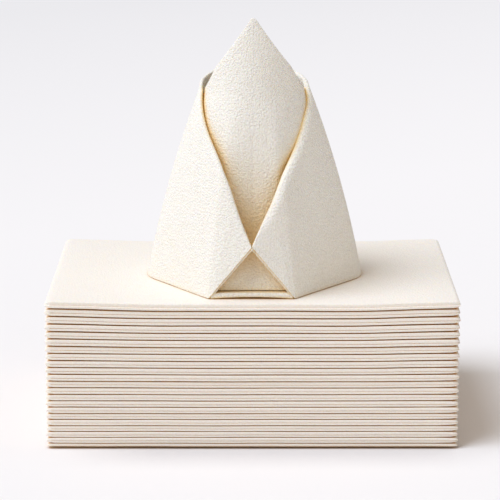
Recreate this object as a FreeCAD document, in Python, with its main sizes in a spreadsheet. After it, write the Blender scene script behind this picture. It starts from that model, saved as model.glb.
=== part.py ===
import FreeCAD, Part
import math
import os
from FreeCAD import Vector

# A stack of folded paper napkins with one more napkin folded to stand on top as a
# pointed cone. Millimetres, +Z up. The origin is the middle of the stack's foot, and
# the long folded edges face -Y, which is the front. Every napkin is one folded sheet.

# Driving sizes: name, value and what it measures.
SIZES = [
    ("open_side", 400, "side of the opened square napkin"),
    ("napkin_count", 22, "flat folded napkins in the stack"),
    ("top_thickness", 3.75, "thickness of the uppermost folded napkin"),
    ("bottom_thickness", 2.9, "thickness of the lowest one, pressed by the rest"),
    ("fold_radius", 0.7, "rounding of a folded edge"),
    ("lobe_size", 0.3, "bevel between the two folds that make up one edge"),
    ("air_gap", 0.08, "air between two plies"),
    ("end_fold", 2.4, "how far the closed end reaches in before the plies part"),
    ("stacking_scatter", 0.3, "how far a napkin lies off its neighbours"),
    ("cone_setback", 8.6, "front of the standing napkin behind the stack's front"),
    ("cone_shift", 0.9, "standing napkin to the right of the stack's middle"),
    ("foot_front", 41.8, "width of its foot along the front"),
    ("foot_width", 108.4, "widest part of its foot"),
    ("foot_side_depth", 45, "front of its foot to the widest part"),
    ("foot_depth", 95, "front of its foot to its back"),
    ("foot_corner", 4, "rounding of the foot's front corners"),
    ("foot_side_corner", 14, "rounding of the foot's side corners"),
    ("wrap_wall", 1.6, "thickness of the outer wrap, three plies"),
    ("wrap_bulge", 2.4, "how far the wrap's sides swell half way up"),
    ("rim_radius", 27.3, "outer radius of the wrap at its rim"),
    ("rim_height", 97, "rim above the stack, where the lapels end"),
    ("rim_setback", 37, "middle of the rim behind the foot's front"),
    ("collar_rise", 11, "how much higher the rim stands at the back"),
    ("neck_height", 25, "where the two lapels meet"),
    ("neck_gap", 0.6, "air between the lapels where they meet"),
    ("lapel_bow", 0.2, "bow of the lapel edges, as a share of their run"),
    ("hem_height", 3.2, "thickness of the turned-in foot"),
    ("petal_wall", 1.2, "thickness of the inner pointed layer, two plies"),
    ("petal_inset", 1.5, "inner layer behind the wrap at the foot"),
    ("petal_clearance", 0.3, "inner layer behind the wrap at the rim"),
    ("petal_height", 136, "tip of the inner layer above the stack"),
    ("petal_spread", 0.74, "half width of its tip for each millimetre down"),
    ("petal_taper", 0.05, "narrowing of the inner layer above the rim"),
    ("petal_drop", 0.8, "how steeply the inner layer's edge falls behind"),
    ("tip_width", 1.6, "width of its blunt tip"),
]

# Flat strips round a full outline, and flat steps along a curved edge.
STATIONS = 60
EDGE_STEPS = 6

# Levels of the walls' outlines, as shares of the rim's height.
LEVELS = (0, 0.25, 0.5, 0.75, 1)

# Most that a fold's rounding and the bevel between two folds take of the thickness.
FOLD_SHARE = 0.3
LOBE_SHARE = 0.12

# How far a cut runs past the paper, and a length that counts as none.
CUT_PAST = 1.0
TIGHT = 1e-4

# Place of the middle poles that makes a curve of four poles a quarter of an ellipse.
ROUND_POLE = 0.5523

# Turns, in radians, from one napkin to the next in their shifts across and in depth,
# and the lead of the second.
SHIFT_TURNS = (2.4, 3.7)
SHIFT_LEAD = 0.4


def make_sheet(doc):
    """Puts the driving sizes in a spreadsheet, one named cell each."""
    sheet = doc.addObject("Spreadsheet::Sheet", "Sizes")
    for row, (alias, value, note) in enumerate(SIZES, start=1):
        sheet.set(f"A{row}", alias)
        sheet.set(f"B{row}", str(value))
        sheet.setAlias(f"B{row}", alias)
        sheet.set(f"C{row}", note)
    doc.recompute()
    return sheet


# Flat napkins: a square sheet folded in three and then in half, so that both long
# sides and the left end are folds and the right end shows the plies.

def thickness_rule(number):
    """Sheet expression for the thickness of one napkin, counted from the bottom."""
    return (f"(Sizes.bottom_thickness + (Sizes.top_thickness - Sizes.bottom_thickness)"
            f" * {number} / max(Sizes.napkin_count - 1; 1))")


def bind_box(box, length, width, height, corner):
    """Binds a box's three sizes and its lowest corner to sheet expressions."""
    box.setExpression("Length", length)
    box.setExpression("Width", width)
    box.setExpression("Height", height)
    for axis, rule in zip("xyz", corner):
        box.setExpression(f"Placement.Base.{axis}", rule)


def dress_edges(doc, body, base, kind, name, edges, size_rule):
    """Rounds or bevels some edges of the last feature of a body."""
    dressed = body.newObject(f"PartDesign::{kind}", name)
    dressed.Base = (base, edges)
    dressed.setExpression("Radius" if kind == "Fillet" else "Size", size_rule)
    doc.recompute()
    return dressed


def edge_names(shape, wanted):
    """Names of the edges whose bounding box passes a test."""
    return [f"Edge{i}" for i, edge in enumerate(shape.Edges, start=1) if wanted(edge.BoundBox)]


def ply_slits(half, ply):
    """Name, front, depth, lowest level and height of the slits between the plies of the
    upper and the lower strip. The inner slit is open at the back. At the front it turns
    round the middle ply's edge into the outer slit, which ends at the tight back fold."""
    gap = "Sizes.air_gap"
    width = "Sizes.open_side / 3"
    front = f"-{width} / 2 + {ply}"
    strips = [
        ("Upper", f"{half} - {ply} - {gap}", f"{half} - 2 * {ply} - 2 * {gap}"),
        ("Lower", f"{ply} - {half}", f"2 * {ply} + {gap} - {half}"),
    ]
    for strip, outer, inner in strips:
        lowest = inner if strip == "Upper" else outer
        yield f"{strip}Outer", front, f"{width} - 2 * {ply}", outer, gap
        yield f"{strip}Inner", front, f"{width} - {ply}", inner, gap
        yield f"{strip}Turn", front, gap, lowest, f"{ply} + 2 * {gap}"


def flat_napkin(doc, sheet, number, foot, offset):
    """One flat folded napkin standing on the height foot, moved sideways by offset."""
    name = f"napkin_{number + 1:02d}"
    body = doc.addObject("PartDesign::Body", name)
    body.Label = name
    length = "Sizes.open_side / 2"
    width = "Sizes.open_side / 3"
    thick = thickness_rule(number)
    gap = "Sizes.air_gap"
    half = f"({thick} / 2)"
    ply = f"(({thick} - {gap}) / 6 - 2 * {gap} / 3)"
    parting = f"-{length} / 2 + Sizes.end_fold"

    block = body.newObject("PartDesign::AdditiveBox", f"Folded{number}")
    bind_box(block, length, width, thick, (f"-{length} / 2", f"-{width} / 2", f"-{half}"))
    doc.recompute()
    right = block.Shape.BoundBox.XMax

    def is_fold(box):
        return box.ZLength < TIGHT and box.XMin < right - TIGHT

    folds = edge_names(block.Shape, is_fold)
    dress_edges(doc, body, block, "Fillet", f"Folds{number}", folds,
                f"min(Sizes.fold_radius; {thick} * {FOLD_SHARE})")

    middle = body.newObject("PartDesign::SubtractiveBox", f"Middle{number}")
    bind_box(middle, length, f"{width} + 2 * {CUT_PAST}", gap,
             (parting, f"-{width} / 2 - {CUT_PAST}", f"-{gap} / 2"))
    doc.recompute()

    def is_lobe(box):
        along = box.XLength > TIGHT and box.YLength < TIGHT and box.ZLength < TIGHT
        return along and abs(box.ZMin) < sheet.air_gap

    lobes = edge_names(middle.Shape, is_lobe)
    dress_edges(doc, body, middle, "Chamfer", f"Lobes{number}", lobes,
                f"min(Sizes.lobe_size; {thick} * {LOBE_SHARE})")

    for slit_name, front, depth, low, height in ply_slits(half, ply):
        slit = body.newObject("PartDesign::SubtractiveBox", f"{slit_name}{number}")
        bind_box(slit, length, depth, height, (parting, front, low))
    body.Tip = slit
    doc.recompute()
    high = foot + body.Shape.BoundBox.ZLength / 2
    body.Placement = FreeCAD.Placement(Vector(offset[0], offset[1], high), FreeCAD.Rotation())
    return body


# Standing napkin: a cone-like wrap cut open in front to two lapels, a pointed layer
# inside it, and the turned-in foot that joins the two. Heights count from its foot,
# and depths go back from the front of the foot.

def mirrored(points):
    return [Vector(-p.x, p.y, p.z) for p in points]


def foot_outline(size):
    """The foot's outline as evenly spaced points, from the front middle round and home."""
    half_front = size["foot_front"] / 2
    half_width = size["foot_width"] / 2
    corner = Vector(-half_front, 0, 0)
    side = Vector(-half_width, size["foot_side_depth"], 0)
    back = Vector(0, size["foot_depth"], 0)
    slope = (side - corner).normalize()
    up = Vector(0, 1, 0)
    left = Vector(-1, 0, 0)
    front_cut = size["foot_corner"]
    side_cut = size["foot_side_corner"] / 2
    start = side + up * side_cut
    up_pole = start + up * ((back.y - start.y) * ROUND_POLE)
    back_pole = back + left * (half_width * ROUND_POLE)
    pole_groups = [
        [Vector(0, 0, 0), corner - left * front_cut],
        [corner - left * front_cut, corner, corner + slope * front_cut],
        [corner + slope * front_cut, side - slope * side_cut],
        [side - slope * side_cut, side, start],
        [start, up_pole, back_pole, back],
    ]
    edges = []
    for poles in pole_groups:
        curve = Part.BezierCurve()
        curve.setPoles(poles)
        edges.append(curve.toShape())
    half = Part.Wire(edges).discretize(Number=STATIONS // 2 + 1)
    return half + mirrored(reversed(half[1:-1]))


def rim_outline(size, radius):
    """The rim's circle with as many points as the foot's outline, in the same order."""
    points = []
    for step in range(STATIONS):
        turn = 2 * math.pi * step / STATIONS
        depth = size["rim_setback"] - radius * math.cos(turn)
        points.append(Vector(-radius * math.sin(turn), depth, 0))
    return points


def outline_at(size, foot, height):
    """The wrap's outer outline at a height, on straight lines from the foot to the rim,
    with the sides swollen a little between the two, and straight up above the rim."""
    share = min(height / size["rim_height"], 1)
    rim = rim_outline(size, size["rim_radius"])
    middle = Vector(0, size["rim_setback"], 0)
    swell = 4 * size["wrap_bulge"] * share * (1 - share)
    points = []
    for low, high in zip(foot, rim):
        point = low * (1 - share) + high * share
        outward = (point - middle).normalize()
        points.append(point + outward * (swell * abs(outward.x)))
    return points


def inset(ring, distance):
    """Moves each point of a closed ring square to it, towards the inside."""
    moved = []
    for i, point in enumerate(ring):
        along = (ring[(i + 1) % len(ring)] - ring[i - 1]).normalize()
        moved.append(point + Vector(along.y, -along.x, 0) * distance)
    return moved


def flat_face(points):
    return Part.Face(Part.makePolygon(points + points[:1]))


def skinned(rings):
    """Solid between level rings that all have as many points, skinned with triangles."""
    faces = [flat_face(rings[0]), flat_face(rings[-1])]
    for low, high in zip(rings, rings[1:]):
        for i in range(len(low)):
            faces.append(flat_face([low[i - 1], low[i], high[i]]))
            faces.append(flat_face([low[i - 1], high[i], high[i - 1]]))
    shell = Part.Shell(faces)
    shell.sewShape()
    return Part.Solid(shell)


def layer(outlines, heights, wall):
    """Closed wall of one thickness whose outer face passes through the outlines."""
    lifts = [Vector(0, 0, height) for height in heights]
    outer = [[point + lift for point in ring] for ring, lift in zip(outlines, lifts)]
    inner = [inset(ring, wall) for ring in outer]
    return skinned(outer).cut(skinned(inner))


def front_prism(profile, near, far):
    """Prism with a profile of (x, height) points, from one depth to another."""
    face = flat_face([Vector(x, near, height) for x, height in profile])
    return face.extrude(Vector(0, far - near, 0))


def side_prism(profile, reach):
    """Prism with a profile of (depth, height) points, as far to both sides."""
    face = flat_face([Vector(-reach, depth, height) for depth, height in profile])
    return face.extrude(Vector(2 * reach, 0, 0))


def both_sides(half_profile):
    """Full profile from the points of its right half, which may end on the middle."""
    return half_profile + [(-x, height) for x, height in reversed(half_profile) if x > TIGHT]


def lapel_opening(size):
    """Front of the wrap that is open: a notch up to the neck and a wide V above it."""
    shut = size["neck_gap"] / 2
    neck = size["neck_height"]
    rise = size["rim_height"] - neck
    half = [(size["foot_front"] / 2, 0), (shut, neck)]
    for step in range(1, EDGE_STEPS + 1):
        share = step / EDGE_STEPS
        spread = share * (1 + size["lapel_bow"] * (1 - share))
        half.append((shut + (size["rim_radius"] - shut) * spread, neck + rise * share))
    half.append((size["foot_width"] / 2, size["petal_height"]))
    return front_prism(both_sides(half), -size["foot_depth"], size["rim_setback"])


def above_collar(size):
    """Space over the wrap's rim, which is lowest at the sides and round at the back."""
    top = size["petal_height"]
    half = [(size["foot_width"] / 2, top), (size["foot_width"] / 2, size["rim_height"])]
    for step in range(EDGE_STEPS + 1):
        turn = math.pi / 2 * step / EDGE_STEPS
        across = size["rim_radius"] * math.cos(turn)
        half.append((across, size["rim_height"] + size["collar_rise"] * math.sin(turn)))
    return front_prism(both_sides(half), size["rim_setback"], 2 * size["foot_depth"])


def outer_wrap(size, foot):
    """The wrap: two lapels in front, closed round the back, with its rim higher there."""
    heights = [size["rim_height"] * share for share in LEVELS]
    heights.append(size["rim_height"] + size["collar_rise"])
    outlines = [outline_at(size, foot, height) for height in heights]
    cone = layer(outlines, heights, size["wrap_wall"])
    return cone.cut([lapel_opening(size), above_collar(size)])


def petal_outline(size, foot, height):
    """Outer outline of the inner layer: the wrap's, drawn in towards the middle."""
    rim = size["rim_height"]
    middle = Vector(0, size["rim_setback"], 0)
    if height <= rim:
        share = height / rim
        back_off = size["petal_inset"] * (1 - share) + size["petal_clearance"] * share
        wrap = outline_at(size, foot, height)
        depth = middle.y - wrap[0].y
        scale = (depth - size["wrap_wall"] - back_off) / depth
        return [middle + (point - middle) * scale for point in wrap]
    radius = size["rim_radius"] - size["wrap_wall"] - size["petal_clearance"]
    return rim_outline(size, radius - size["petal_taper"] * (height - rim))


def inner_petal(size, foot):
    """The pointed layer: straight edges down from its tip, cut away low at the back."""
    tip = size["petal_height"]
    over = tip + CUT_PAST
    heights = [size["rim_height"] * share for share in LEVELS] + [tip]
    outlines = [petal_outline(size, foot, height) for height in heights]
    cone = layer(outlines, heights, size["petal_wall"])
    wide = size["foot_width"]
    shoulder = tip - size["rim_radius"] / size["petal_spread"]
    run = [(size["tip_width"] / 2, over), (size["tip_width"] / 2, tip),
           (size["rim_radius"], shoulder), (wide, shoulder), (wide, over)]
    middle = size["rim_setback"]
    beside = [front_prism([(side * x, height) for x, height in run], -wide, middle)
              for side in (1, -1)]
    behind = side_prism([(middle, shoulder), (middle, over), (wide + middle, over),
                         (wide + middle, shoulder - wide * size["petal_drop"])], wide)
    return cone.cut(beside + [behind])


def turned_foot(size, foot):
    """The foot's plies, turned in flat across the whole foot."""
    rings = []
    for height in (0.0, size["hem_height"]):
        ring = inset(outline_at(size, foot, height), size["wrap_wall"] / 2)
        rings.append([point + Vector(0, 0, height) for point in ring])
    return skinned(rings)


def standing_napkin(doc, size, foot_height):
    """The napkin folded as a pointed cone, standing on the stack."""
    foot = foot_outline(size)
    shape = turned_foot(size, foot).fuse([outer_wrap(size, foot), inner_petal(size, foot)])
    shape = shape.removeSplitter()
    if len(shape.Solids) == 1:
        shape = shape.Solids[0]
    feature = doc.addObject("Part::Feature", "standing_napkin")
    feature.Label = "standing_napkin"
    feature.Shape = shape
    front = -size["open_side"] / 6 + size["cone_setback"]
    place = Vector(size["cone_shift"], front, foot_height)
    feature.Placement = FreeCAD.Placement(place, FreeCAD.Rotation())
    return feature


def scatter(sheet, number):
    """Small sideways shift of one napkin, the same on every run."""
    reach = sheet.stacking_scatter
    across = reach * math.sin(SHIFT_TURNS[0] * number)
    deep = reach * math.cos(SHIFT_TURNS[1] * number + SHIFT_LEAD)
    return (across, deep)


def check(doc, parts):
    """Stops before anything is written if a feature failed or a shape is bad."""
    for item in doc.Objects:
        for state in item.State:
            if state in ("Invalid", "Error"):
                raise RuntimeError(f"{item.Name} is {state}")
    for part in parts:
        shape = part.Shape
        if shape.isNull() or not shape.isValid():
            raise RuntimeError(f"{part.Label} has no valid shape")
        if len(shape.Solids) != 1:
            raise RuntimeError(f"{part.Label} has {len(shape.Solids)} solids")


doc = FreeCAD.newDocument("NapkinStack")
sheet = make_sheet(doc)
parts = []
level = 0.0
for number in range(int(sheet.napkin_count)):
    napkin = flat_napkin(doc, sheet, number, level, scatter(sheet, number))
    level += napkin.Shape.BoundBox.ZLength
    parts.append(napkin)
size = {alias: float(sheet.get(alias)) for alias, _, _ in SIZES}
parts.append(standing_napkin(doc, size, level))
doc.recompute()
check(doc, parts)

os.makedirs("parts", exist_ok=True)
for part in parts:
    part.Shape.exportStep(f"parts/{part.Label}.step")
    box = part.Shape.BoundBox
    print(f"{part.Label}: {box.XLength:.1f} x {box.YLength:.1f} x {box.ZLength:.2f},"
          f" volume {part.Shape.Volume / 1000:.2f} cm3")
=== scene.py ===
import bpy
import math
import numpy as np
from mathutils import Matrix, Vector


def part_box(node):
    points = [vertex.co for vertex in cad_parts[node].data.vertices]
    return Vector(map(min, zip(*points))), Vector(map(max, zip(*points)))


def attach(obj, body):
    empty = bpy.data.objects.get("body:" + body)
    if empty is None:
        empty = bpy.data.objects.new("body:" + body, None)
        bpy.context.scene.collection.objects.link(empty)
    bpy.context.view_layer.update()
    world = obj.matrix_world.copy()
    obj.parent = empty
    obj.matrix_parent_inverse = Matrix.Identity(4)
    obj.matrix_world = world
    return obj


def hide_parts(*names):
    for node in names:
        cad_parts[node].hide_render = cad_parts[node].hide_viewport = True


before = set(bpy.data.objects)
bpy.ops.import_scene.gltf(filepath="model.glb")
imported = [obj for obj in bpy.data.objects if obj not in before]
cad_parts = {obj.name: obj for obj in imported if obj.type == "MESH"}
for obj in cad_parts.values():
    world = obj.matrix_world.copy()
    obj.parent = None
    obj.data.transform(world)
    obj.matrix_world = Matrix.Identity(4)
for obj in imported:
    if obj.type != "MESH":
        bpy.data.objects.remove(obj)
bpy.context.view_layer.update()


# Flat napkins. Each is a square sheet of airlaid tissue, folded in three and then in
# half, six plies thick. They lie loose on one another. The long edge in front shows a
# wide fold for each half, and the left end shows the last fold.

MM = 0.001
open_side, edge_trim = 0.4, 1.0 * MM
ply_air, napkin_air = 0.04 * MM, 0.04 * MM
flats = sorted(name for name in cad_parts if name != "standing_napkin")


def linear(hex_colour):
    """Linear values of an sRGB hex colour."""
    shares = [int(hex_colour[i:i + 2], 16) / 255 for i in (1, 3, 5)]
    values = [s / 12.92 if s <= 0.04045 else ((s + 0.055) / 1.055) ** 2.4 for s in shares]
    return (*values, 1.0)


def add(tree, kind, settings=None, inputs=None):
    """Adds a node. Settings are its own values, and inputs go to sockets by name or
    number: an output socket is linked, and anything else is set."""
    node = tree.nodes.new(kind)
    for name, value in (settings or {}).items():
        setattr(node, name, value)
    for key, value in (inputs or {}).items():
        if isinstance(value, bpy.types.NodeSocket):
            tree.links.new(value, node.inputs[key])
        else:
            node.inputs[key].default_value = value
    return node


# The paper is bleached pulp, its fibres laid in air, bonded, dyed cream and embossed with
# a fine pebble grain. It is matt with a faint bloom, lets a little light through, and its hollows
# get a painted warm shade.

def airlaid_paper(name, relief, tones, painted_crevice_shade, shade_reach):
    """Cream airlaid tissue: an embossed pebble grain of some relief over a felt of short
    fibres, in clouds of two tones. Crevices get a painted warm shade, standing in for light
    that has passed through plies, and where the sheet itself shades within the reach it
    gets a painted golden shade."""
    material = bpy.data.materials.new(name)
    material.use_nodes = True
    tree = material.node_tree
    shader = tree.nodes["Principled BSDF"]
    place = add(tree, "ShaderNodeTexCoord").outputs["Object"]

    # Pebbles of the embossing roll, and the felt of pulp fibres, which lie in clumps.
    pebble_gap, clump, pebble_share = 1.0 * MM, 0.7 * MM, 1.3
    pebbles = add(tree, "ShaderNodeTexVoronoi", {"feature": "SMOOTH_F1"},
                  {"Vector": place, "Scale": 1 / pebble_gap, "Smoothness": 0.6})
    felt = add(tree, "ShaderNodeTexNoise", {},
               {"Vector": place, "Scale": 1 / clump, "Detail": 3.0, "Roughness": 0.65})
    grain = add(tree, "ShaderNodeMath", {"operation": "MULTIPLY_ADD"},
                {0: pebbles.outputs["Distance"], 1: pebble_share, 2: felt.outputs[0]})
    bump = add(tree, "ShaderNodeBump", {},
               {"Strength": 1.0, "Distance": relief, "Height": grain.outputs[0]})

    # Slow unevenness of the pulp, in clouds of about 9 mm, and slightly greyer flecks.
    cloud_size, fleck = 9 * MM, "#F1E7D8"
    clouds = add(tree, "ShaderNodeTexNoise", {},
                 {"Vector": place, "Scale": 1 / cloud_size, "Detail": 2.0})
    tone = add(tree, "ShaderNodeMix", {"data_type": "RGBA"},
               {0: clouds.outputs[0], 6: linear(tones[0]), 7: linear(tones[1])})
    speck = add(tree, "ShaderNodeMapRange", {},
                {"Value": felt.outputs[0], "From Min": 0.3, "From Max": 0.6})
    colour = add(tree, "ShaderNodeMix", {"data_type": "RGBA"},
                 {0: speck.outputs[0], 6: linear(fleck), 7: tone.outputs[2]}).outputs[2]

    # Painted warm shade by ambient occlusion, full at one openness and gone at the other.
    painted_crevice_reach, painted_golden_shade = 4 * MM, "#FBD483"
    for own, reach, full, gone, painted_shade_tint in ((False, painted_crevice_reach, 0.05, 0.75, painted_crevice_shade),
                                         (True, shade_reach, 0.05, 0.98, painted_golden_shade)):
        if not reach:
            continue
        openness = add(tree, "ShaderNodeAmbientOcclusion", {"samples": 6, "only_local": own},
                       {"Distance": reach})
        lit = add(tree, "ShaderNodeMapRange", {},
                  {"Value": openness.outputs["AO"], "From Min": full, "From Max": gone})
        colour = add(tree, "ShaderNodeMix", {"data_type": "RGBA"},
                     {0: lit.outputs[0], 6: linear(painted_shade_tint), 7: colour}).outputs[2]
    tree.links.new(colour, shader.inputs["Base Color"])
    tree.links.new(bump.outputs[0], shader.inputs["Normal"])
    shader.inputs["Roughness"].default_value = 0.92
    shader.inputs["Specular IOR Level"].default_value = 0.2
    shader.inputs["IOR"].default_value = 1.47
    shader.inputs["Sheen Weight"].default_value = 0.05
    shader.inputs["Sheen Roughness"].default_value = 0.6
    shader.inputs["Subsurface Weight"].default_value = 0.15
    shader.inputs["Subsurface Radius"].default_value = (1.0, 0.7, 0.4)
    shader.inputs["Subsurface Scale"].default_value = 0.9 * MM
    return material


def cut_lines(reach, folds, step, bends):
    """Places of the lines across a flat sheet from -reach to reach: even steps, closer
    at the two edges and, in as many bends, through each fold from start to end."""
    edge_strip, edge_band, beside_fold = 0.6 * MM, 2.5 * MM, 1.6 * MM
    marks = {-reach, reach, edge_strip - reach, reach - edge_strip}
    spans = [-reach + edge_band]
    for start, end in folds:
        marks.update(np.linspace(start, end, bends + 1))
        spans += [start - beside_fold, end + beside_fold]
    spans.append(reach - edge_band)
    for low, high in zip(spans[::2], spans[1::2]):
        marks.update(np.linspace(low, high, max(2, round((high - low) / step) + 1)))
    return sorted(round(float(mark), 7) for mark in marks)


def flat_sheet(name, across, along, thickness):
    """Closed flat sheet with cut lines at those places, in the XY plane."""
    nx, ny = len(across), len(along)
    points = [(x, y, z) for z in (-thickness / 2, thickness / 2) for y in along for x in across]
    top = nx * ny
    faces = []
    for j in range(ny - 1):
        for i in range(nx - 1):
            a, b = j * nx + i, j * nx + i + 1
            c, d = b + nx, a + nx
            faces.append((d, c, b, a))
            faces.append((a + top, b + top, c + top, d + top))
    rim = list(range(nx))
    rim += [j * nx + nx - 1 for j in range(1, ny)]
    rim += [(ny - 1) * nx + i for i in range(nx - 2, -1, -1)]
    rim += [j * nx for j in range(ny - 2, 0, -1)]
    for a, b in zip(rim, rim[1:] + rim[:1]):
        faces.append((a, b, b + top, a + top))
    mesh = bpy.data.meshes.new(name)
    mesh.from_pydata(points, [], faces)
    return mesh


def socket(tree, name, kind="NodeSocketFloat", way="INPUT"):
    """Adds a socket to a node group's own inputs or outputs."""
    return tree.interface.new_socket(name=name, in_out=way, socket_type=kind)


def maths(tree, operation, *values):
    """One math node on up to three numbers or sockets."""
    node = add(tree, "ShaderNodeMath", {"operation": operation}, dict(enumerate(values)))
    return node.outputs[0]


def fade(tree, value, start, end, low=0.0, high=1.0):
    """Smooth change from low to high as a value goes from start to end."""
    node = add(tree, "ShaderNodeMapRange", {"interpolation_type": "SMOOTHSTEP"},
               {"Value": value, "From Min": start, "From Max": end, "To Min": low, "To Max": high})
    return node.outputs[0]


def fold_group():
    """Node group that folds all beyond a line over the rest, up and back. The bend has
    a radius, measured at height 0, and its section goes from round, 2, to square."""
    tree = bpy.data.node_groups.new("Fold", "GeometryNodeTree")
    for name in ("Along", "Height", "Line", "Radius", "Squareness"):
        socket(tree, name)
    socket(tree, "Along", way="OUTPUT")
    socket(tree, "Height", way="OUTPUT")
    source = add(tree, "NodeGroupInput").outputs
    run = maths(tree, "SUBTRACT", source["Along"], source["Line"])
    turn = maths(tree, "MAXIMUM", maths(tree, "DIVIDE", run, source["Radius"]), 0.0)
    turn = maths(tree, "MINIMUM", turn, math.pi)
    sine, cosine = maths(tree, "SINE", turn), maths(tree, "COSINE", turn)
    power = source["Squareness"]
    total = maths(tree, "ADD", maths(tree, "POWER", maths(tree, "ABSOLUTE", sine), power),
                  maths(tree, "POWER", maths(tree, "ABSOLUTE", cosine), power))
    widen = maths(tree, "POWER", total, maths(tree, "DIVIDE", -1.0, power))
    lever = maths(tree, "SUBTRACT", source["Radius"], source["Height"])
    reach = maths(tree, "MULTIPLY", lever, widen)
    bend = maths(tree, "MULTIPLY", math.pi, source["Radius"])
    beyond = maths(tree, "MAXIMUM", maths(tree, "SUBTRACT", run, bend), 0.0)
    kept = maths(tree, "ADD", source["Line"], maths(tree, "MINIMUM", run, 0.0))
    along = maths(tree, "SUBTRACT", maths(tree, "MULTIPLY_ADD", sine, reach, kept), beyond)
    height = maths(tree, "SUBTRACT", source["Radius"], maths(tree, "MULTIPLY", cosine, reach))
    add(tree, "NodeGroupOutput", {}, {"Along": along, "Height": height})
    return tree


def napkin_folder(fold):
    """Tree that folds a flat sheet into a napkin: two folds to thirds, one to a half,
    then the pressed edges, the rounded corners, the sag and its place in the stack."""
    tree = bpy.data.node_groups.new("Folded napkin", "GeometryNodeTree")
    socket(tree, "Geometry", "NodeSocketGeometry")
    for name in ("Width", "Length", "Ply pitch", "Half height", "Tight line", "Wide line",
                 "Edge pinch", "End pinch", "End reach", "Nose", "Corner", "End creep",
                 "Half step", "Seam drop", "Undercut", "Lift", "Uneven", "Seed"):
        socket(tree, name)
    socket(tree, "Middle", "NodeSocketVector")
    socket(tree, "Paper", "NodeSocketMaterial")
    socket(tree, "Geometry", "NodeSocketGeometry", "OUTPUT")
    source = add(tree, "NodeGroupInput").outputs
    position = add(tree, "GeometryNodeInputPosition").outputs[0]
    x, y, z = add(tree, "ShaderNodeSeparateXYZ", {}, {0: position}).outputs

    def folded(along, height, line, radius, squareness):
        node = add(tree, "GeometryNodeGroup", {"node_tree": fold},
                   {"Along": along, "Height": height, "Line": line, "Radius": radius,
                    "Squareness": squareness})
        return node.outputs["Along"], node.outputs["Height"]

    # The back third folds tightly forward, then the front third wide over both.
    tight_squareness, wide_squareness, half_squareness = 2.6, 8.0, 2.2
    tight = maths(tree, "MULTIPLY", source["Ply pitch"], 0.5)
    y, z = folded(y, z, source["Tight line"], tight, tight_squareness)
    y = maths(tree, "MULTIPLY", y, -1.0)
    y, z = folded(y, z, source["Wide line"], source["Ply pitch"], wide_squareness)
    y = maths(tree, "MULTIPLY", y, -1.0)
    # The left half folds over the right half.
    x = maths(tree, "MULTIPLY", x, -1.0)
    bend = maths(tree, "MULTIPLY", source["Half height"], -0.5 * math.pi)
    x, z = folded(x, z, bend, source["Half height"], half_squareness)
    half_length = maths(tree, "MULTIPLY", source["Length"], 0.5)
    half_width = maths(tree, "MULTIPLY", source["Width"], 0.5)
    x = maths(tree, "SUBTRACT", maths(tree, "MULTIPLY", x, -1.0), half_length)
    z = maths(tree, "SUBTRACT", z, source["Half height"])

    # The plies press together towards the edges, and the inner ones creep out at the
    # open end, because the outer ones go round a longer bend.
    side_press, end_press, creep_width = 9 * MM, 7 * MM, 8 * MM
    from_side = maths(tree, "SUBTRACT", half_width, maths(tree, "ABSOLUTE", y))
    from_end = maths(tree, "SUBTRACT", half_length, maths(tree, "ABSOLUTE", x))
    near_side = fade(tree, from_side, side_press, 0.0)
    near_end = fade(tree, from_end, end_press, 0.0)
    pinch = maths(tree, "MAXIMUM", maths(tree, "MULTIPLY", near_side, source["Edge pinch"]),
                  maths(tree, "MULTIPLY", near_end, source["End pinch"]))
    share = maths(tree, "DIVIDE", z, source["Half height"])
    share_squared = maths(tree, "MULTIPLY", share, share)
    creep = maths(tree, "MULTIPLY", share_squared, source["End creep"])
    creep = maths(tree, "MULTIPLY", creep, fade(tree, x, -creep_width, 0.0))
    creep = maths(tree, "MULTIPLY", creep, fade(tree, from_end, creep_width, 0.0))

    # The fold at the closed end is drawn out to a longer nose, and the corners round off.
    nose_start, nose_end = 2.2 * MM, 15 * MM
    corner_power, corner_share = 2.4, 0.016
    swollen = maths(tree, "MULTIPLY", fade(tree, from_end, 0.0, nose_start),
                    fade(tree, from_end, nose_end, nose_start))
    swollen = maths(tree, "MULTIPLY", swollen, fade(tree, x, creep_width, 0.0))
    nose = maths(tree, "MULTIPLY", swollen, source["Nose"])
    round_off = maths(tree, "SUBTRACT", source["Corner"], from_end)
    round_off = maths(tree, "DIVIDE", round_off, source["Corner"])
    round_off = maths(tree, "MAXIMUM", round_off, 0.0)
    round_off = maths(tree, "POWER", round_off, corner_power)
    round_off = maths(tree, "MULTIPLY", round_off, corner_share)
    y = maths(tree, "SUBTRACT", y, maths(tree, "MULTIPLY", y, round_off))
    z = maths(tree, "SUBTRACT", z, maths(tree, "MULTIPLY", z, pinch))

    # The lower half comes a little further forward, the seam between the halves lies
    # below the middle, and the lowest napkin's underside draws in from the table.
    seam = 0.12
    upper = fade(tree, share, -seam, seam)
    y = maths(tree, "MULTIPLY_ADD", upper, source["Half step"], y)
    drop = maths(tree, "MULTIPLY", maths(tree, "SUBTRACT", 1.0, share_squared), near_side)
    z = maths(tree, "SUBTRACT", z, maths(tree, "MULTIPLY", drop, source["Seam drop"]))
    under = maths(tree, "MAXIMUM", maths(tree, "MULTIPLY", share, -1.0), 0.0)
    under = maths(tree, "MULTIPLY", under, near_side)
    z = maths(tree, "MULTIPLY_ADD", under, source["Undercut"], z)

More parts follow.
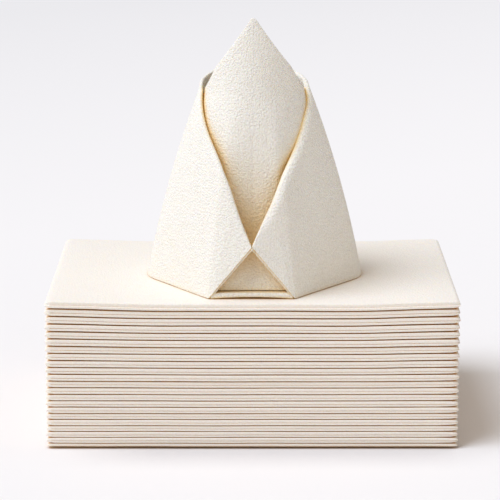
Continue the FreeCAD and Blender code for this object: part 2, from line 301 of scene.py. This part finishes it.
    # The ends ride up where the layers below are puffed, and nothing lies quite true.
    level_to, risen_from = 44 * MM, 108 * MM
    stack_wave, own_wave = 42 * MM, 26 * MM
    far = fade(tree, maths(tree, "ABSOLUTE", x), level_to, risen_from)
    z = maths(tree, "MULTIPLY_ADD", far, source["Lift"], z)
    in_plane = add(tree, "ShaderNodeCombineXYZ", {}, {0: x, 1: y, 2: 0.0}).outputs[0]
    placed = add(tree, "ShaderNodeVectorMath", {"operation": "ADD"},
                 {0: in_plane, 1: source["Middle"]})
    slow = add(tree, "ShaderNodeTexNoise", {"normalize": False},
               {"Vector": placed.outputs[0], "Scale": 1 / stack_wave, "Detail": 1.0})
    own = add(tree, "ShaderNodeTexNoise", {"noise_dimensions": "4D", "normalize": False},
              {"Vector": in_plane, "W": source["Seed"], "Scale": 1 / own_wave, "Detail": 2.0})
    own_parts = add(tree, "ShaderNodeSeparateXYZ", {}, {0: own.outputs["Color"]}).outputs
    z = maths(tree, "MULTIPLY_ADD", slow.outputs[0], source["Uneven"], z)
    z = maths(tree, "MULTIPLY_ADD", maths(tree, "MULTIPLY", own_parts[2], near_side),
              maths(tree, "MULTIPLY", source["Uneven"], 0.5), z)
    y = maths(tree, "MULTIPLY_ADD", own_parts[1], source["Uneven"], y)

    # The closed end reaches further out than the thirds' folds would leave it.
    reach_from, reach_full = -20 * MM, -95 * MM
    reach = maths(tree, "MULTIPLY", fade(tree, x, reach_from, reach_full), source["End reach"])
    x = maths(tree, "SUBTRACT", maths(tree, "SUBTRACT", x, reach), creep)
    x = maths(tree, "ADD", x, nose)
    x = maths(tree, "MULTIPLY_ADD", own_parts[0], source["Uneven"], x)

    moved = add(tree, "ShaderNodeCombineXYZ", {}, {0: x, 1: y, 2: z}).outputs[0]
    moved = add(tree, "ShaderNodeVectorMath", {"operation": "ADD"},
                {0: moved, 1: source["Middle"]})
    shape = add(tree, "GeometryNodeSetPosition", {},
                {"Geometry": source["Geometry"], "Position": moved.outputs[0]})
    real = add(tree, "GeometryNodeRealizeInstances", {}, {0: shape.outputs[0]})
    painted = add(tree, "GeometryNodeSetMaterial", {},
                  {0: real.outputs[0], "Material": source["Paper"]})
    add(tree, "NodeGroupOutput", {}, {0: painted.outputs[0]})
    return tree


def made_plain(piece):
    """Turns what a piece's modifiers make of it into its own plain mesh."""
    shown = piece.evaluated_get(bpy.context.evaluated_depsgraph_get())
    result = bpy.data.meshes.new_from_object(shown)
    piece.modifiers.clear()
    piece.data = result


def made_by_tree(name, mesh, tree, values):
    """Piece that a tree makes of a mesh, with inputs given by their names."""
    piece = bpy.data.objects.new(name, mesh)
    bpy.context.scene.collection.objects.link(piece)
    modifier = piece.modifiers.new("made", "NODES")
    modifier.node_group = tree
    for item in tree.interface.items_tree:
        if item.in_out == "INPUT" and item.name in values:
            modifier[item.identifier] = values[item.name]
    made_plain(piece)
    bpy.data.meshes.remove(mesh)
    return piece


def smooth(piece, crease_degrees):
    """Smooth faces with sharp edges where the surface turns by more than an angle."""
    piece.data.shade_smooth()
    piece.data.set_sharp_from_angle(angle=math.radians(crease_degrees))


# The crevice colour here is painted shade in the gaps between plies and napkins; the flat napkins
# get no golden shade.
pressed_paper = airlaid_paper("airlaid_tissue_pressed_cream", 0.10 * MM,
                              ("#FBF1E5", "#F9EEE1"), "#DEA850", 0.0)
napkin_tree = napkin_folder(fold_group())
corners = [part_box(node) for node in flats]
stack_middle = sum((low + high for low, high in corners), Vector()) / (2 * len(flats))
trued = 0.55
for number, node in enumerate(flats):
    low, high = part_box(node)
    length, width, pitch = high - low
    middle = (low + high) / 2
    for axis in (0, 1):
        middle[axis] += trued * (stack_middle[axis] - middle[axis])
    ply = (pitch - napkin_air - 5 * ply_air) / 6
    ply_pitch = ply + ply_air
    half_height = 2 * ply_pitch + ply / 2 + ply_air / 2
    tight_line = width / 2 - ply_pitch / 2 - ply / 2
    wide_line = width / 2 - ply_pitch - ply / 2
    half_bend = math.pi * half_height / 2
    across = cut_lines(open_side / 2, [(-half_bend, half_bend)], step=9 * MM, bends=12)
    folds = [(-wide_line - math.pi * ply_pitch, -wide_line),
             (tight_line, tight_line + math.pi * ply_pitch / 2)]
    along = cut_lines(open_side / 2 - edge_trim, folds, step=13 * MM, bends=10)
    share_up = (number + 1) / len(flats)
    air_between = (0.30 + 0.30 * share_up) * MM
    # The top napkin's lower half stands well forward, the others' a hair out of line.
    half_step = 0.7 * MM if node == flats[-1] else 0.12 * MM * math.sin(5.1 * number)
    napkin = made_by_tree(
        f"{node}_paper", flat_sheet(node, across, along, ply), napkin_tree,
        {"Width": width, "Length": length, "Ply pitch": ply_pitch, "Half height": half_height,
         "Tight line": tight_line, "Wide line": wide_line, "Edge pinch": air_between / pitch,
         "End pinch": 0.26, "End reach": 1.4 * MM, "Nose": 1.3 * MM, "Corner": 2.6 * MM,
         "End creep": 1.0 * MM, "Half step": half_step, "Seam drop": 0.15 * MM,
         "Undercut": 0.0 if number else 0.9 * MM, "Lift": 1.45 * MM * share_up**2,
         "Uneven": 0.14 * MM, "Seed": number * 7.3,
         "Middle": middle, "Paper": pressed_paper})
    smooth(napkin, crease_degrees=50)
    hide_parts(node)
    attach(napkin, "root")


# Standing napkin. One more of the same sheets, wrapped to a cone of three plies whose
# two lapels part over a pointed inner layer of two. The lapels' edges are folds, rolled
# rather than creased. The foot is turned in flat, and its front fold shows as a hem.

low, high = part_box("standing_napkin")
stand_middle, stand_front, stand_foot = (low.x + high.x) / 2, low.y, low.z
rim_height, rim_radius, rim_setback = 97.0, 27.3, 37.0
side_bulge = 2.4
wall, tissue = 1.7, 0.42
neck_ahead, down_view = 6.5, 0.238


def bezier(poles, count):
    """Points along a curve of any number of poles."""
    points = []
    for t in np.linspace(0, 1, count):
        level = [np.array(pole, float) for pole in poles]
        while len(level) > 1:
            level = [a * (1 - t) + b * t for a, b in zip(level, level[1:])]
        points.append(level[0])
    return points


def runs(line):
    """Distance along a line of points, at each of them."""
    return np.concatenate([[0], np.cumsum(np.linalg.norm(np.diff(line, axis=0), axis=1))])


def even(points, count):
    """As many points, evenly spaced along a line of points."""
    points = np.array(points)
    run = runs(points)
    at = np.linspace(0, run[-1], count)
    return np.stack([np.interp(at, run, points[:, k]) for k in range(2)], axis=1)


def left_foot(half_front, half_width, side_depth, depth, front_cut, side_cut):
    """Left half of the foot's outline, from the front middle to the back middle."""
    corner, side, back = np.array([(-half_front, 0), (-half_width, side_depth), (0, depth)])
    slope = (side - corner) / np.linalg.norm(side - corner)
    up, left = np.array([0.0, 1.0]), np.array([-1.0, 0.0])
    start = side + up * side_cut
    round_pole = 0.5523
    groups = [
        [(0, 0), corner - left * front_cut],
        [corner - left * front_cut, corner, corner + slope * front_cut],
        [corner + slope * front_cut, side - slope * side_cut],
        [side - slope * side_cut, side, start],
        [start, start + up * ((depth - start[1]) * round_pole),
         back + left * (half_width * round_pole), back],
    ]
    points = []
    for poles in groups:
        points += bezier(poles, 40)
    return even(points, 400)


foot_line = left_foot(half_front=20.9, half_width=54.2, side_depth=45.0, depth=95.0,
                      front_cut=2.0, side_cut=7.0)
foot_share = np.linspace(0, 1, len(foot_line))


def on_cone(share, height, inset_foot, inset_rim):
    """Place on the wrap, or on a layer inset from it: share goes round the left half
    from the front, 0, to the back, 1, and height is in millimetres above the foot."""
    foot = np.array([np.interp(share, foot_share, foot_line[:, k]) for k in range(2)])
    turn = math.pi * share
    rim = np.array([-rim_radius * math.sin(turn), rim_setback - rim_radius * math.cos(turn)])
    up = min(height / rim_height, 1.0)
    middle = np.array([0.0, rim_setback])
    point = foot * (1 - up) + rim * up
    away = point - middle
    span = np.linalg.norm(away)
    swell = 4 * side_bulge * up * (1 - up) * abs(away[0] / span)
    inset = inset_foot * (1 - up) + inset_rim * up
    point = middle + away * (1 + (swell - inset) / span)
    return np.array([point[0], point[1], height])


def between(table, at):
    """Value at a place in a table of (place, value) pairs, on a smooth line."""
    places, values = np.array(table, float).T
    i = int(np.clip(np.searchsorted(places, at) - 1, 0, len(places) - 2))
    slopes = np.gradient(values, places)
    span = places[i + 1] - places[i]
    t = float(np.clip((at - places[i]) / span, 0, 1))
    return ((2 * t**3 - 3 * t**2 + 1) * values[i] + (t**3 - 2 * t**2 + t) * span * slopes[i]
            + (3 * t**2 - 2 * t**3) * values[i + 1] + (t**3 - t**2) * span * slopes[i + 1])


def ease(value, start, end):
    """Smooth step from 0 at start to 1 at end."""
    t = min(max((value - start) / (end - start), 0.0), 1.0)
    return t * t * (3 - 2 * t)


def ahead(point, distance):
    """The point brought forward by a distance, and up by as much as hides it from the
    front, where one looks down at 13 degrees."""
    return point + np.array([0.0, -distance, down_view * distance])


def settled(point):
    """The point in its own place: the napkin's front has slid a little to the left."""
    foot_slide, less_at_tip, tall, front_from, front_to = 1.5, 0.6, 136, 2, 44
    x, y, z = point
    slide = foot_slide - less_at_tip * z / tall
    return x - slide * (1 - ease(y, front_from, front_to)), y, z


# Folded edge of the left lapel and of the right one, and the collar behind, each as
# pairs of the share round the cone and the height. Then the notch under the neck.
left_edge = [
    (0.0045, 25.6), (0.0352, 35.3), (0.0623, 43.9), (0.0843, 50.9), (0.1241, 60.3),
    (0.1842, 69.6), (0.2252, 74.8), (0.2783, 81.1), (0.3483, 88.9), (0.4151, 95.1),
    (0.470, 98.4), (0.535, 100.4), (0.648, 102.4), (0.75, 104.2), (0.87, 106.0), (1.0, 107.0)]
right_edge = [
    (0.0015, 25.6), (0.0168, 30.5), (0.0507, 38.7), (0.0864, 46.7), (0.1355, 57.4),
    (0.1815, 63.8), (0.234, 71.1), (0.2803, 77.9), (0.3397, 85.4), (0.4147, 91.5),
    (0.4709, 95.6), (0.518, 98.4), (0.5805, 100.7), (0.648, 102.1), (0.75, 103.8),
    (0.87, 106.0), (1.0, 107.0)]
notch_edge = [(0.0015, 25.2), (0.033, 19.8), (0.067, 13.5), (0.0998, 7.2), (0.132, 0.0)]
flap, fan, rest = 16, 28, 48


def lapel_surface(edge, steps):
    """Outer surface of one half of the wrap, as lines of points from the notch or the
    foot to the folded edge. A flap of them starts at the notch, a fan at the foot's front
    corner, and the rest go round to the back."""
    neck, corner = notch_edge[0][0], notch_edge[-1][0]
    corner_width, foot_clear = 0.012, 0.3
    flap_end, fan_end = 0.09, 0.36
    ahead_from, ahead_to = -0.05, 0.30
    lines = []
    for k in range(flap + fan + rest + 1):
        if k < flap:
            t = k / flap
            low_share = neck + (corner - neck) * t
            high_share = edge[0][0] + (flap_end - edge[0][0]) * t
            bent = 0.0
        elif k < flap + fan:
            t = (k - flap) / fan
            low_share = corner + corner_width * t
            high_share = flap_end + (fan_end - flap_end) * t
            bent = t
        else:
            t = (k - flap - fan) / rest
            low_share = corner + corner_width + (1 - corner - corner_width) * t
            high_share = fan_end + (1 - fan_end) * t
            bent = 1.0
        low_height = foot_clear
        if low_share < corner:
            low_height = max(between(notch_edge, low_share), foot_clear)
        high_height = between(edge, high_share)
        bent = bent * bent * (3 - 2 * bent)
        low_point = ahead(on_cone(low_share, low_height, 0, 0),
                          neck_ahead * max(1 - low_share / corner, 0))
        shift = neck_ahead * (1 - ease(high_share, ahead_from, ahead_to))
        high_point = ahead(on_cone(high_share, high_height, 0, 0), shift)
        line = []
        for s in np.linspace(0, 1, steps):
            straight = low_point * (1 - s) + high_point * s
            share = low_share + (high_share - low_share) * s
            height = low_height + (high_height - low_height) * s
            curved = ahead(on_cone(share, height, 0, 0), shift * s)
            line.append(straight * (1 - bent) + curved * bent)
        lines.append(line)
    return np.array(lines)


def normals(surface):
    """Unit vectors square to a surface of points, pointing away from the cone's inside."""
    across = np.gradient(surface, axis=0)
    along = np.gradient(surface, axis=1)
    square = np.cross(along, across)
    size = np.linalg.norm(square, axis=2, keepdims=True)
    square = square / np.maximum(size, 1e-9)
    thin = size[:, :, 0] < 1e-4
    for i, j in zip(*np.nonzero(thin)):
        square[i, j] = square[i, min(j + 2, surface.shape[1] - 1)]
    away = surface - np.array([0.0, rim_setback, 0.0])
    away[:, :, 2] = 0
    flip = np.sum(square * away, axis=2, keepdims=True) < 0
    return np.where(flip, -square, square)


def at_distance(line, square, distance):
    """Point and normal at a distance along a line of points; it runs straight on past
    either end."""
    run = runs(line)
    inside = min(max(distance, 0.0), run[-1])
    point = np.array([np.interp(inside, run, line[:, k]) for k in range(3)])
    normal = np.array([np.interp(inside, run, square[:, k]) for k in range(3)])
    beyond = distance - inside
    if beyond:
        way = line[1] - line[0] if beyond < 0 else line[-1] - line[-2]
        point = point + way / max(np.linalg.norm(way), 1e-9) * beyond
    return point, normal / np.linalg.norm(normal)


def hairpin(surface, depths, curls, radii, levels=30, arc=9):
    """A ply that runs up a surface, over a fold at its top edge, and down inside. Each
    line has its own curl, the width over which it dips before the fold, and radius. The
    lines on either side soften the way each one turns in."""
    full_tilt, full_curl, near = 0.6, 6.0, 5
    towards_fold, settle_length = 0.8, 14.0
    squares = normals(surface)
    squares = np.array([squares[max(k - near, 0):k + near + 1].mean(axis=0)
                        for k in range(len(squares))])
    steps = np.linspace(0, 1, levels)
    outer, inner = depths
    rows = []
    for line, square, curl, radius in zip(surface, squares, curls, radii):
        reach = float(np.sum(np.linalg.norm(np.diff(line, axis=0), axis=1)))
        # Both shrink on the short lines at the notch.
        radius = min(radius, 0.22 * reach + 0.05)
        curl = min(curl, 0.75 * reach)
        tilt = full_tilt * min(curl / full_curl, 1.0)
        turn_start = math.atan(tilt)
        last = reach - radius * (1 - math.sin(turn_start))
        first = last - curl

        def outer_depth(a):
            return outer + (tilt / (3 * curl**2) * max(a - first, 0.0) ** 3 if curl > 0 else 0.0)

        centre = last - radius * math.sin(turn_start)
        centre_depth = outer_depth(last) + radius * math.cos(turn_start)
        back_depth = centre_depth + radius
        path = [(a, outer_depth(a)) for a in steps ** towards_fold * last]
        for turn in np.linspace(turn_start, math.pi, arc + 1)[1:]:
            path.append((centre + radius * math.sin(turn), centre_depth - radius * math.cos(turn)))
        settle = min(settle_length, 0.9 * centre)
        for a in (steps[::-1] ** towards_fold * centre)[1:]:
            path.append((a, inner + (back_depth - inner) * ease(a, centre - settle, centre)))
        row = []
        for a, depth in path:
            point, normal = at_distance(line, square, a)
            row.append(point - normal * depth)
        rows.append(row)
    return rows


def mirrored(rows):
    """The same rows of points on the other side."""
    return [[np.array([-p[0], p[1], p[2]]) for p in row] for row in rows]


def joined(left, right):
    """One sheet of both halves, which meet at the back."""
    return left + mirrored(right)[::-1][1:]


# Outer and inner ply of the wrap: the right lapel's edge is a soft roll, widest over
# the chest, the left one's is pressed flatter.
parts = []
surfaces = [lapel_surface(left_edge, 40), lapel_surface(right_edge, 40)]
least_curl, least_radius = 0.6, 0.62
roll_curls, roll_radii = (3.0, 5.6), (0.75, 1.6)
full_from, falls_from, falls_to = 12, 24, 62
halves = []
for surface, curl, radius in zip(surfaces, roll_curls, roll_radii):
    swell = [ease(k, 0, full_from) * (1 - 0.5 * ease(k, falls_from, falls_to))
             for k in range(len(surface))]
    curls = [least_curl + curl * s for s in swell]
    radii = [least_radius + (radius - least_radius) * s for s in swell]
    halves.append(hairpin(surface, (tissue / 2, wall - tissue / 2), curls, radii))
parts.append(joined(*halves))

# Middle ply, which stops short of the folded edge and looks out a little at the notch.
look_out, short_of_edge = 1.7, 5.0
halves = []
for surface in surfaces:
    rows = []
    for k, (line, square) in enumerate(zip(surface, normals(surface))):
        reach = float(np.sum(np.linalg.norm(np.diff(line, axis=0), axis=1)))
        start = -min(look_out, 0.85 * line[0][2]) * ease(k, -4, 3) if k < flap else 0.0
        row = []
        for a in np.linspace(start, max(reach - short_of_edge, 0.55 * reach), 26):
            point, normal = at_distance(line, square, a)
            row.append(point - normal * (wall / 2 + 0.05))
        rows.append(row)
    halves.append(rows)
parts.append(joined(*halves))

# The inner layer: its tip stands over the front, and its edges fall straight to the
# shoulders, more steeply inside the collar, and on to the back.
tip, tip_half, spread = 134.7, 0.8, 0.74
shoulder, shoulder_spread, back_fall = 18.6, 0.46, 0.8
petal_insets = (wall + 1.5, wall + 1.3)
petal_hollow, petal_taper = 7.0, 0.05
petal_foot, petal_step, petal_apart = 3.4, 0.35, 1.0


def petal_top(share):
    """Height of the inner layer's edge at a share round it."""
    radius = rim_radius - petal_insets[1]
    across = radius * math.sin(math.pi * min(share, 0.5))
    height = tip - max(min(across, shoulder) - tip_half, 0) / spread
    height -= max(across - shoulder, 0) / shoulder_spread
    if share > 0.5:
        height -= back_fall * radius * -math.cos(math.pi * share)
    return height


def on_petal(share, height):
    """Place on the inner layer, hollowed at its middle and drawn in towards the tip."""
    hollow = petal_hollow * math.sin(math.pi * min(height / rim_height, 1.0)) ** 2
    point = on_cone(share, height, petal_insets[0] + hollow, petal_insets[1])
    middle = np.array([0.0, rim_setback])
    over = max(height - rim_height, 0.0)
    point[:2] = middle + (point[:2] - middle) * (1 - petal_taper * over / rim_radius)
    return point


shares = np.concatenate([np.linspace(0, 0.06, 8)[:-1], np.linspace(0.06, 1, 56)])
surface = []
for share in shares:
    foot = petal_foot + petal_step * (1 - ease(share, 0.1, 0.2))
    surface.append([on_petal(share, height) for height in np.linspace(foot, petal_top(share), 50)])
uncurled = [0.0] * len(shares)
creased = [0.4] * len(shares)
rows = hairpin(np.array(surface), (tissue / 2, petal_apart - tissue / 2), uncurled, creased, 34, 5)
parts.append(joined(rows, rows)[:-1] + [mirrored([rows[0]])[0]])

# The foot: two plies across the whole foot, joined in front by the hem's fold, which
# lifts a little off the stack at its middle.
hem_height, hem_lift, hem_back, hem_nose = 3.1, 0.85, 1.2, 0.75
hem_half, foot_half, foot_depth, foot_inset = 19.8, 19.6, 80.0, wall + 0.5
lift_full, lift_gone, towards_front = 4, 22, 1.3
outline = np.array([on_cone(share, 0.0, foot_inset, 0.0) for share in np.linspace(0.1, 0.97, 200)])


def foot_reach(y):
    """Half the width of the foot's plies at a depth behind the front."""
    hem_depth = 3.0
    if y <= hem_depth:
        return foot_half
    return float(np.interp(y, outline[:, 1], -outline[:, 0]))


rows = []
for u in np.linspace(-1, 1, 45):
    lift = hem_lift * (1 - u * u)
    top_z, low_z = hem_height - tissue / 2, tissue / 2 + lift
    radius, middle = (top_z - low_z) / 2, (top_z + low_z) / 2
    row = []
    depths = np.linspace(0, 1, 16) ** towards_front * foot_depth
    for depth in depths[::-1]:
        y = hem_back + depth
        row.append(np.array([u * foot_reach(y), y, top_z]))
    for turn in np.linspace(0, math.pi, 11)[1:-1]:
        sine, cosine = math.sin(turn), math.cos(turn)
        square = (sine**4 + abs(cosine) ** 4) ** 0.25
        row.append(np.array([u * hem_half, hem_back - hem_nose * sine / square,
                             middle + radius * cosine / square]))
    for depth in depths:
        y = hem_back + depth
        height = low_z - lift * ease(depth, lift_full, lift_gone)
        row.append(np.array([u * foot_reach(y), y, height]))
    rows.append(row)
parts.append(rows)

points, faces = [], []
for rows in parts:
    start, width_count = len(points), len(rows[0])
    for row in rows:
        points += [settled(p) for p in row]
    for i in range(len(rows) - 1):
        for j in range(width_count - 1):
            a = start + i * width_count + j
            faces.append((a, a + width_count, a + width_count + 1, a + 1))
mesh = bpy.data.meshes.new("standing_napkin_paper")
mesh.from_pydata([(x * MM + stand_middle, y * MM + stand_front, z * MM + stand_foot)
                  for x, y, z in points], [], faces)
# Painted light: paler tones than the flat napkins' stand in for more light on this one, and its
# crevice colour and golden reach are painted shade.
mesh.materials.append(airlaid_paper("airlaid_tissue_embossed_cream", 0.32 * MM,
                                    ("#FEF9EE", "#FDF5E8"), "#F6DA96", 26 * MM))
standing = bpy.data.objects.new("standing_napkin_paper", mesh)
bpy.context.scene.collection.objects.link(standing)
thicken = standing.modifiers.new("ply", "SOLIDIFY")
thicken.thickness = tissue * MM
thicken.offset = 0.0
thicken.use_even_offset = False
made_plain(standing)
smooth(standing, crease_degrees=60)
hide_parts("standing_napkin")
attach(standing, "root")


# Table and light. A pale table top that runs back out of sight, a broad key light from
# the upper left in front, and an even, slightly warmer light from all round.

def laminate():
    """Matt white laminate, with painted shade darker towards the back, and a painted contact
    shadow where the stack stands close by, most of all in front of it."""
    material = bpy.data.materials.new("laminate_matt_white")
    material.use_nodes = True
    tree = material.node_tree
    shader = tree.nodes["Principled BSDF"]
    place = add(tree, "ShaderNodeTexCoord").outputs["Object"]
    split = add(tree, "ShaderNodeSeparateXYZ", {}, {0: place}).outputs

    # Painted shade: the floor's colour darkens towards the back and the left.
    leftward, pale_to, deep_from = -0.77, 0.5, 1.8
    pale, painted_far_shade = "#F5F0EC", "#E9E5E2"
    away = maths(tree, "MULTIPLY_ADD", split[0], leftward, split[1])
    depth = add(tree, "ShaderNodeMapRange", {},
                {"Value": away, "From Min": pale_to, "From Max": deep_from})
    tone = add(tree, "ShaderNodeMix", {"data_type": "RGBA"},
               {0: depth.outputs[0], 6: linear(pale), 7: linear(painted_far_shade)})

    # Painted contact shadow by ambient occlusion: strongest before the stack's front edge, it
    # fades out at its left end.
    painted_shadow_reach, painted_contact_shadow = 34 * MM, "#88868A"
    left_end, left_full, painted_shadow_front, painted_shadow_back = -110 * MM, -40 * MM, -76 * MM, -58 * MM
    openness = add(tree, "ShaderNodeAmbientOcclusion", {"samples": 8}, {"Distance": painted_shadow_reach})
    painted_shadow_mask = maths(tree, "SUBTRACT", 1.0, openness.outputs["AO"])
    painted_shadow_mask = maths(tree, "MULTIPLY", painted_shadow_mask, fade(tree, split[0], left_end, left_full, 0.1, 1.0))
    painted_shadow_mask = maths(tree, "MULTIPLY", painted_shadow_mask, fade(tree, split[1], painted_shadow_front, painted_shadow_back, 0.85, 0.1))
    # Mixes the painted contact shadow into the floor's colour.
    near = add(tree, "ShaderNodeMix", {"data_type": "RGBA"},
               {0: painted_shadow_mask, 6: tone.outputs[2], 7: linear(painted_contact_shadow)})
    tree.links.new(near.outputs[2], shader.inputs["Base Color"])
    shader.inputs["Roughness"].default_value = 0.8
    shader.inputs["Specular IOR Level"].default_value = 0.0
    return material


table_mesh = bpy.data.meshes.new("table")
far_side = 6.0
table_mesh.from_pydata([(-far_side, -far_side, 0), (far_side, -far_side, 0),
                        (far_side, far_side, 0), (-far_side, far_side, 0)], [], [(0, 1, 2, 3)])
table_mesh.materials.append(laminate())
table = bpy.data.objects.new("table", table_mesh)
bpy.context.scene.collection.objects.link(table)

world = bpy.data.worlds.new("studio")
world.use_nodes = True
around = world.node_tree.nodes["Background"]
around.inputs["Color"].default_value = (1.0, 0.955, 0.905, 1.0)
around.inputs["Strength"].default_value = 0.467
bpy.context.scene.world = world

shines_along = Vector((0.505, 0.250, -0.826))
key_lamp = bpy.data.lights.new("key", "SUN")
key_lamp.energy = 2.68
key_lamp.angle = math.radians(40)
key_lamp.color = (0.795, 0.87, 1.0)
key = bpy.data.objects.new("key", key_lamp)
key.rotation_euler = shines_along.to_track_quat("-Z", "Y").to_euler()
bpy.context.scene.collection.objects.link(key)


# Camera, at the photograph's angle: a long lens a little over a metre in front,
# looking 13 degrees down.
camera_data = bpy.data.cameras.new("camera")
camera_data.sensor_width = 36.0
camera_data.lens = 161.5
camera = bpy.data.objects.new("camera", camera_data)
camera.location = (-1.44 * MM, -1109.35 * MM, 348.1 * MM)
camera.rotation_euler = (math.radians(76.61), 0.0, 0.0)
bpy.context.scene.collection.objects.link(camera)
bpy.context.scene.camera = camera
bpy.context.scene.view_settings.view_transform = "Standard"
